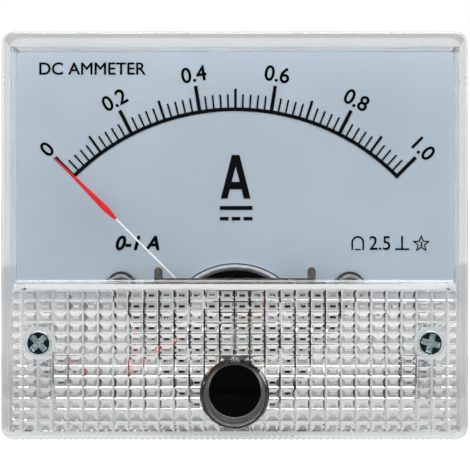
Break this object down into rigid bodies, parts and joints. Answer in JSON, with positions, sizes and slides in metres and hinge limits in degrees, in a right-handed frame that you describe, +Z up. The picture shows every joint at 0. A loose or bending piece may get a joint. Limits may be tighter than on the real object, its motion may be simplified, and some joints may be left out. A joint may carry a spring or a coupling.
{
  "type": "analog panel meter",
  "caption": "Clear-cased moving-coil panel meter with a 0 to 1 arc scale, red-tipped pointer, waffled lower cover, zero adjuster and round rear drum with two stud terminals.",
  "frame": {"origin": "on the drum's axis, in the plane of the flange's back face that meets the panel", "axes": "+Y along the drum to the back, the dial faces -Y, +X to the right seen from the front, +Z up"},
  "size_m": [0.064, 0.0511, 0.056],
  "materials": {
    "clear_case": "clear moulded polystyrene",
    "clear_cover": "clear moulded polystyrene, waffle face on the block",
    "zinc_screws": "bluish zinc plate",
    "dial_enamel": "pale blue-grey satin enamel",
    "black_ink": "printed ink",
    "chassis_metal": "satin aluminium",
    "ring_iron": "bright nickel plate on soft iron",
    "magnet_alloy": "ground magnet alloy",
    "brass": "bright turned and stamped brass",
    "black_plate": "blackened steel",
    "bright_steel": "bright steel",
    "pointer_white": "drawn aluminium",
    "pointer_red": "red lacquer on aluminium",
    "copper_wire": "enamelled copper wire",
    "spring_bronze": "phosphor bronze strip",
    "shunt_alloy": "manganin strip",
    "black_plastic": "black moulded plastic",
    "red_sleeve": "red lead insulation",
    "black_sleeve": "black lead insulation"
  },
  "bodies": {
    "housing": {"rear_case": "clear_case", "front_cover": "clear_cover", "cover_screws": "zinc_screws", "dial_plate": "dial_enamel", "scale_marks": "black_ink", "dial_screws": "zinc_screws", "chassis_plate": "black_plate", "yoke_ring": "ring_iron", "core_magnet": "magnet_alloy", "core_spacers": "brass", "front_bridge": "black_plate", "stop_pins": "bright_steel", "rear_bridge": "chassis_metal", "front_pillars": "brass", "rear_pillars": "brass", "front_bridge_screws": "bright_steel", "rear_bridge_screws": "bright_steel", "front_jewel_screw": "brass", "rear_jewel_screw": "brass", "jewel_nuts": "brass", "rear_spring_tag": "brass", "shunt_strip": "shunt_alloy", "solder_tags": "brass", "terminal_bolts": "brass", "terminal_washers": "brass", "lock_washers": "bright_steel", "terminal_nuts": "brass", "mounting_studs": "zinc_screws", "red_lead": "red_sleeve", "black_lead": "black_sleeve"},
    "moving_coil": {"coil_former": "pointer_white", "coil_winding": "copper_wire", "front_staff": "bright_steel", "rear_staff": "bright_steel", "pointer_hub": "pointer_white", "pointer_tube": "pointer_white", "pointer_blade": "pointer_red", "balance_arms": "pointer_white", "balance_weights": "brass", "front_hairspring": "spring_bronze", "rear_hairspring": "spring_bronze"},
    "adjuster": {"zero_adjuster": "black_plastic", "adjuster_clip": "bright_steel"},
    "lever": {"zero_lever": "bright_steel"}
  },
  "joints": [
    {"name": "coil_hinge", "type": "hinge", "parent": "housing", "child": "moving_coil", "pos_m": [0, 0, -0.01235], "axis": [0, 1, 0], "range_deg": [-1, 91], "stiffness_Nm_per_rad": 0.000015},
    {"name": "adjuster_hinge", "type": "hinge", "parent": "housing", "child": "adjuster", "pos_m": [0, 0, -0.0194], "axis": [0, 1, 0], "range_deg": [-45, 45]},
    {"name": "lever_hinge", "type": "hinge", "parent": "housing", "child": "lever", "pos_m": [0, 0, -0.01235], "axis": [0, 1, 0], "range_deg": [-5.5, 5.5]}
  ],
  "couplings": [
    {"joint": "lever_hinge", "follows": "adjuster_hinge", "ratio": -0.118}
  ]
}
